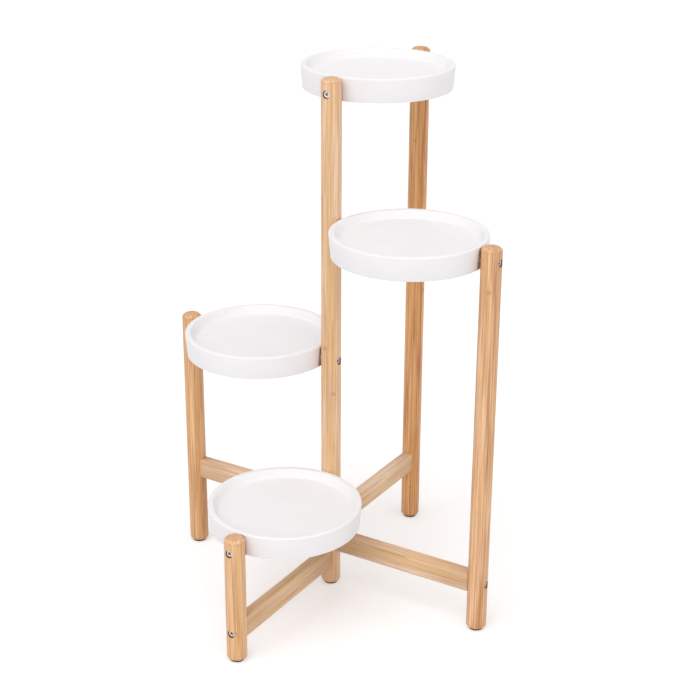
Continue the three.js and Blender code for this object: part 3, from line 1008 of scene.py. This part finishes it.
# %% The tray tree
def build_tray_tree():
    takes = {"Geometry": GEOMETRY, "Sides": 192, "Tray Radius": 0.0, "Rib Length": 215 * MM,
             "Rib Thickness": 2 * MM, "Rib Low": 11 * MM, "Rib High": 20.5 * MM, "Boss Radius": 6.8 * MM,
             "Boss Length": 0.0, "Nose Radius": 5.4 * MM, "Nose Length": 2.2 * MM, "Bolt Height": 0.0,
             "Hole Radius": 0.0, "Hole Depth": 0.0, "Material": MATERIAL}
    w, take, give = new_tree("moulded_tray", "GeometryNodeTree", takes, {"Geometry": GEOMETRY})
    profile = take["Geometry"]
    rows = w.add("GeometryNodeAttributeDomainSize", {"Geometry": profile})["Point Count"]
    grid, row, column, angle = turning_grid(w, rows, take["Sides"])
    sample = {"Geometry": profile, "Value": w.add("GeometryNodeInputPosition")[0], "Index": row}
    point = w.add("GeometryNodeSampleIndex", sample, data_type="FLOAT_VECTOR", domain="POINT")[0]
    x, y, z = w.unpack(point)
    body = wrap(w, grid, angle, x, z)

    def placed(mesh, where, turn):
        moves = {"Geometry": mesh, "Translation": where, "Rotation": turn}
        return w.add("GeometryNodeTransform", moves)[0]

    def rod(radius, start, end):
        """Two round bars at the height of the bolts, between two places inward from the rim."""
        sizes = {"Vertices": ROUND_SIDES, "Radius": radius, "Depth": end - start}
        bar = w.add("GeometryNodeMeshCylinder", sizes)["Mesh"]
        inward = (end + start) / 2.0
        places = [(take["Tray Radius"] - inward) * side for side in (1.0, -1.0)]
        return [placed(bar, w.pack(x, 0.0, take["Bolt Height"]), (0, math.pi / 2, 0)) for x in places]

    rib_middle = (take["Rib High"] + take["Rib Low"]) / 2.0
    rib_size = w.pack(take["Rib Length"], take["Rib Thickness"], take["Rib High"] - take["Rib Low"])
    rib = w.add("GeometryNodeMeshCube", {"Size": rib_size})["Mesh"]
    parts = [body]
    parts += [placed(rib, w.pack(0.0, 0.0, rib_middle), (0, 0, math.pi * turn / 4)) for turn in range(4)]
    parts += rod(take["Boss Radius"], take["Nose Length"], take["Boss Length"])
    parts += rod(take["Nose Radius"], 0.0, take["Nose Length"] + 1 * MM)
    whole = w.add("GeometryNodeMeshBoolean", {"Mesh 2": parts}, operation="UNION", solver="MANIFOLD")[0]
    cut = {"Mesh 1": whole, "Mesh 2": rod(take["Hole Radius"], -3 * MM, take["Hole Depth"])}
    drilled = w.add("GeometryNodeMeshBoolean", cut, operation="DIFFERENCE", solver="MANIFOLD")[0]
    finish_tree(w, give, keep_place(w, drilled), take["Material"])
    return w.tree


TRAY_TREE = build_tray_tree()
print(TRAY_TREE.name, "has", len(TRAY_TREE.nodes), "nodes")

# %% Make the four trays
profile_mesh = bpy.data.meshes.new("tray_profile")
profile_mesh.from_pydata([(radius, 0, height) for radius, height in tray_profile()], [], [])
tray_sizes = {
    "Tray Radius": TRAY_RADIUS,
    "Bolt Height": middle("tray_bolt_center_1").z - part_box("tray_1")[0].z,
    "Hole Radius": INSERT_HOLE,
    "Hole Depth": INSERT_HOLE_DEPTH,
    "Boss Length": INSERT_HOLE_DEPTH + BOSS_END,
    "Material": TRAY_PLASTIC,
}
one_tray = grow("tray", TRAY_TREE, profile_mesh, tray_sizes)
for tier in TIERS:
    node, name = f"tray_{tier}", f"tray_{tier}_moulded"
    moulded = one_tray.copy()
    moulded.transform(arm_frame(tier, ARM_REACH / 2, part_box(node)[0].z))
    dress(name, moulded, TRAY_PLASTIC, f"tilting_tray_{tier}", [node])

# %% [markdown]
# ## Bolts, inserts and pads
#
# The stand is held by sixteen equal bolts. A bolt is a lathe shape with two changes. Its thread rows
# climb by one pitch in each turn, so the last column meets the first one two rows higher and the
# ridge runs on as one helix. The rows in the head's socket are pushed out at six corners. Points mark
# where each bolt goes, and each point carries the direction that the head faces.

# %% Lathe rows from stations
def pick(w, row, values):
    """The value for a row, out of a list of numbers and wires."""
    node = w.tree.nodes.new("GeometryNodeIndexSwitch")
    node.data_type = "FLOAT"
    while len(node.index_switch_items) < len(values):
        node.index_switch_items.new()
    for socket, value in zip(node.inputs, [row, *values]):
        w.feed(socket, value)
    return w.outputs(node)[0]


def station_shape(w, row, column, angle, stations):
    """The radius and height of each row. A station is a radius and a height, and where the row is
    a hexagon or has a knurl, a share of one and a depth."""
    full = [(*station, 0.0, 0.0)[:4] for station in stations]
    radii, heights, hexagons, knurls = [list(values) for values in zip(*full)]
    corner_turn = w.math("FLOORED_MODULO", angle, math.pi / 3) - math.pi / 6
    stretch = (1.0 / w.math("COSINE", corner_turn) - 1.0) * pick(w, row, hexagons) + 1.0
    ridge = w.math("MODULO", column, 2.0) * pick(w, row, knurls)
    return pick(w, row, radii) * stretch - ridge, pick(w, row, heights)


def scatter(w, take, geometry):
    """Puts a part at every point of the start mesh, with its Z along the point's own axis."""
    axis = w.add("GeometryNodeInputNamedAttribute", {"Name": "axis"}, data_type="FLOAT_VECTOR")
    turn = w.add("FunctionNodeAlignRotationToVector", {"Vector": axis["Attribute"]}, axis="Z")[0]
    puts = {"Points": take["Geometry"], "Instance": geometry, "Rotation": turn}
    return w.add("GeometryNodeInstanceOnPoints", puts)[0]


def marks(name, places):
    """A mesh of points, each with the axis of the part that stands there."""
    mesh = bpy.data.meshes.new(name)
    mesh.from_pydata([place for place, axis in places], [], [])
    stored = mesh.attributes.new("axis", "FLOAT_VECTOR", "POINT")
    for item, (place, axis) in zip(stored.data, places):
        item.vector = axis
    return mesh


print("stations and marks ready")

# %% The rows of a bolt
THREAD_TURNS = 22.0
THREAD_ROWS = 2 * int(THREAD_TURNS) + 3


def bolt_stations(take, tip, root, thread_high):
    """The stations of a bolt below its thread, and those above it."""
    head, shank, edge, knurl = take["Head Radius"], take["Shank Radius"], take["Edge"], take["Knurl"]
    socket, deep = take["Socket Radius"], take["Socket Depth"] * -1.0
    under = take["Head Height"] * -1.0
    below = [(0.0, tip), (root - 0.4 * MM, tip)]
    above = [
        (shank, thread_high + 0.8 * MM),
        (shank, under - 0.4 * MM),
        (shank + 0.4 * MM, under),
        (head - 0.4 * MM, under),
        (head, under + 0.4 * MM),
        (head, under + 0.9 * MM, 0.0, knurl),
        (head, -1.4 * MM, 0.0, knurl),
        (head, -0.9 * MM),
        (head, edge * -1.0),
        (head - edge * 0.3, edge * -0.3),
        (head - edge, 0.0),
        (socket + 0.9 * MM, 0.0),
        (socket + 0.55 * MM, 0.0),
        (socket, -0.35 * MM, 1.0),
        (socket, deep, 1.0),
        (0.0, deep - 0.6 * MM),
    ]
    return below, above


print("the thread of a bolt has", THREAD_ROWS, "rows")

# %% The bolt tree
def build_bolt_tree():
    takes = {"Geometry": GEOMETRY, "Columns": 48, "Head Radius": 0.0, "Head Height": 0.0,
             "Shank Radius": 0.0, "Total Length": 0.0, "Pitch": 1 * MM, "Thread Depth": 0.6 * MM,
             "Socket Radius": 2.5 * MM, "Socket Depth": 3 * MM, "Edge": 0.6 * MM, "Knurl": 0.12 * MM,
             "Material": MATERIAL}
    w, take, give = new_tree("socket_bolts", "GeometryNodeTree", takes, {"Geometry": GEOMETRY})
    tip = take["Total Length"] * -1.0
    root = take["Shank Radius"] - take["Thread Depth"]
    thread_low = tip + 0.5 * MM
    below, above = bolt_stations(take, tip, root, thread_low + take["Pitch"] * THREAD_TURNS)
    first_above = len(below) + THREAD_ROWS
    grid, row, column, angle = turning_grid(w, first_above + len(above), take["Columns"])

    # Rows of the thread are counted apart from the rows that have a station.
    after = w.math("GREATER_THAN", row, first_above - 0.5)
    inside = w.math("GREATER_THAN", row, len(below) - 0.5) - after
    station = row - after * THREAD_ROWS
    radius, height = station_shape(w, station, column, angle, below + above)
    step = row - len(below)
    climb = w.math("MAXIMUM", step / 2.0 - 1.0 + angle / (2 * math.pi), 0.0)
    climb = w.math("MINIMUM", climb, THREAD_TURNS)
    fade = w.math("MINIMUM", climb, THREAD_TURNS - climb)
    crest = w.math("MODULO", step, 2.0) * w.math("MINIMUM", fade, 1.0)

    def either(threaded, plain):
        return threaded * inside + plain * (1.0 - inside)

    radius = either(root + crest * take["Thread Depth"], radius)
    height = either(thread_low + climb * take["Pitch"], height)
    bolt = keep_place(w, wrap(w, grid, angle, radius, height))
    finish_tree(w, give, scatter(w, take, bolt), take["Material"])
    return w.tree


BOLT_TREE = build_bolt_tree()
print(BOLT_TREE.name, "has", len(BOLT_TREE.nodes), "nodes")

# %% Make the bolts
bolt_places, bolt_nodes = [], []
for tier in TIERS:
    for kind in ("tray", "rail"):
        for post, facing in (("center", -1), ("outer", 1)):
            node = f"{kind}_bolt_{post}_{tier}"
            axis = on_arm(tier, facing, 0)
            bolt_places.append((middle(node) + axis * BOLT_TOTAL / 2, axis))
            bolt_nodes.append(node)
bolt_sizes = {
    "Head Radius": BOLT_HEAD_RADIUS,
    "Head Height": BOLT_HEAD_HEIGHT,
    "Shank Radius": BOLT_SHANK_RADIUS,
    "Total Length": BOLT_TOTAL,
    "Material": BOLT_STEEL,
}
bolts = grow("bolts", BOLT_TREE, marks("bolt_marks", bolt_places), bolt_sizes)
dress("stand_bolts", bolts, BOLT_STEEL, "stand", bolt_nodes)

# %% [markdown]
# The brass inserts are short tubes. Two knurled bands with a groove between them keep each one from
# turning or coming out of the wood or the plastic. The foot pads are flat rubber discs with two
# grooves underneath, so that they grip.

# %% The stations of inserts and pads
def insert_stations(take):
    """Round the wall of an insert: up its outside and back down its bore."""
    outer, bore, knurl = take["Radius"], take["Bore"], take["Knurl"]
    half, groove = take["Length"] / 2.0, outer - take["Groove"]
    wide_bore, narrow = bore + 0.5 * MM, outer - 0.4 * MM
    rows = [(-1.0, 0.5, bore), (-1.0, 0.0, wide_bore), (-1.0, 0.0, narrow), (-1.0, 0.4, outer),
            (-1.0, 0.8, outer, knurl), (-0.3, 0.0, outer, knurl), (-0.3, 0.2, outer),
            (-0.2, 0.3, groove), (0.2, -0.3, groove),
            (0.3, -0.2, outer), (0.3, 0.0, outer, knurl), (1.0, -0.8, outer, knurl),
            (1.0, -0.4, outer), (1.0, 0.0, narrow), (1.0, 0.0, wide_bore), (1.0, -0.5, bore),
            (-1.0, 0.5, bore)]
    return [(radius, half * share + ease * MM, 0.0, *ridge) for share, ease, radius, *ridge in rows]


def pad_stations(take):
    """From the middle of a pad's underside, over two grooves and round the rim, to its top."""
    radius, top = take["Radius"], take["Thickness"]
    stations = [(0.0, 0.0)]
    for share in (0.28, 0.64):
        for shift, rise in ((-0.7, 0.0), (-0.4, 0.4), (0.4, 0.4), (0.7, 0.0)):
            stations.append((radius * share + shift * MM, rise * MM))
    for inset, rise in ((0.6, 0.0), (0.17, 0.17), (0.0, 0.6)):
        stations.append((radius - inset * MM, rise * MM))
    for inset, drop in ((0.0, 0.6), (0.17, 0.17), (0.6, 0.0)):
        stations.append((radius - inset * MM, top - drop * MM))
    return stations + [(0.0, top)]


print("stations of inserts and pads ready")

# %% The trees of inserts and pads
def build_turned_tree(name, columns, sizes, make_stations):
    """A tree that turns one small part from stations and puts it at every mark."""
    takes = {"Geometry": GEOMETRY, "Columns": columns, **sizes, "Material": MATERIAL}
    w, take, give = new_tree(name, "GeometryNodeTree", takes, {"Geometry": GEOMETRY})
    stations = make_stations(take)
    grid, row, column, angle = turning_grid(w, len(stations), take["Columns"])
    radius, height = station_shape(w, row, column, angle, stations)
    part = keep_place(w, wrap(w, grid, angle, radius, height))
    finish_tree(w, give, scatter(w, take, part), take["Material"])
    return w.tree


insert_takes = {"Radius": 0.0, "Bore": 3.3 * MM, "Length": 0.0, "Groove": 0.8 * MM, "Knurl": 0.2 * MM}
INSERT_TREE = build_turned_tree("threaded_inserts", 60, insert_takes, insert_stations)
PAD_TREE = build_turned_tree("foot_pads", 64, {"Radius": 0.0, "Thickness": 0.0}, pad_stations)
print(INSERT_TREE.name, "and", PAD_TREE.name)

# %% Make the inserts and the pads
insert_sizes = {"Radius": INSERT_RADIUS, "Length": INSERT_LENGTH, "Material": INSERT_BRASS}


def make_inserts(name, kind, tiers, body):
    nodes = [f"{kind}_insert_{post}_{tier}" for tier in tiers for post in ("center", "outer")]
    places = [(middle(node), on_arm(int(node[-1]), 1, 0)) for node in nodes]
    mesh = grow(name, INSERT_TREE, marks(name + "_marks", places), insert_sizes)
    dress(name, mesh, INSERT_BRASS, body, nodes)


make_inserts("rail_inserts", "rail", TIERS, "stand")
for tier in TIERS:
    make_inserts(f"tray_{tier}_inserts", "tray", (tier,), f"tilting_tray_{tier}")

pad_nodes = ["foot_pad_center"] + [f"foot_pad_{tier}" for tier in TIERS]
pad_places = []
for node in pad_nodes:
    place = middle(node)
    place.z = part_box(node)[0].z
    pad_places.append((place, GRAIN_UP))
pad_sizes = {"Radius": PAD_RADIUS, "Thickness": PAD_THICKNESS, "Material": PAD_RUBBER}
pads = grow("pads", PAD_TREE, marks("pad_marks", pad_places), pad_sizes)
dress("foot_pads", pads, PAD_RUBBER, "stand", pad_nodes)

# %% [markdown]
# ## The stage
#
# The object stands on a plain pale floor in soft studio light. The floor and the world read as white
# to the camera, and to rays that a shiny bolt sends out, while the light that reaches the wood stays at
# a plain level. The floor still takes light and shade like any matt surface, so the stand keeps its
# soft shadow.

# %% Floor and world
FLOOR_SIZE = 40.0
FLOOR_GLOW = 0.3
WORLD_LIGHT = 0.61


def background_rays(w):
    """One where a ray shows the background: seen, mirrored, or through something clear."""
    rays = w.add("ShaderNodeLightPath")
    seen = w.math("MAXIMUM", rays["Is Camera Ray"], rays["Is Glossy Ray"])
    return w.math("MAXIMUM", seen, rays["Is Transmission Ray"])


floor_mesh = bpy.data.meshes.new("floor")
corners = [(x * FLOOR_SIZE / 2, y * FLOOR_SIZE / 2, 0) for x, y in ((-1, -1), (1, -1), (1, 1), (-1, 1))]
floor_mesh.from_pydata(corners, [], [(0, 1, 2, 3)])
floor = put_in_scene("floor", floor_mesh)
constants = {"Specular IOR Level": 0.0, "Roughness": 0.9, "Emission Color": (1, 1, 1, 1)}
floor_paint, w, shader, place = new_material("pale_floor", constants)
shade = w.noise(place, 1.0, (3, 3, 3))
w.feed(shader.inputs["Base Color"], w.blend(shade, (0.79, 0.78, 0.78, 1), (0.81, 0.80, 0.80, 1)))
w.feed(shader.inputs["Emission Strength"], background_rays(w) * FLOOR_GLOW)
floor_mesh.materials.append(floor_paint)

world = bpy.data.worlds.new("studio")
world.use_nodes = True
bpy.context.scene.world = world
w = Wires(world.node_tree)
background = world.node_tree.nodes["Background"]
background.inputs["Color"].default_value = (1, 1, 1, 1)
w.feed(background.inputs["Strength"], w.between(background_rays(w), 0.0, 1.0, WORLD_LIGHT, 1.0))
bpy.context.scene.view_settings.view_transform = "Standard"
print("floor and world ready")

# %% The lamps
# Two very wide suns stand for large studio lamps, on the upper left and on the right of the camera.
# They light the whole floor evenly, and their width keeps every shadow soft.
LAMP_WIDTH = math.radians(70)


def wide_lamp(name, turn, drop, strength):
    """A wide sun. Its light travels turned from the camera's way, and drops from level."""
    data = bpy.data.lights.new(name, "SUN")
    data.energy = strength
    data.angle = LAMP_WIDTH
    lamp = put_in_scene(name, data)
    way, fall = HEADING + math.radians(turn), math.radians(drop)
    travel = Vector((-math.sin(way) * math.cos(fall), math.cos(way) * math.cos(fall), -math.sin(fall)))
    lamp.matrix_world = travel.to_track_quat("-Z", "Y").to_matrix().to_4x4()
    print(name, "shines along", tuple(round(value, 2) for value in travel))


wide_lamp("upper_left_lamp", -30, 50, 1.42)
wide_lamp("right_fill_lamp", 55, 25, 0.5)
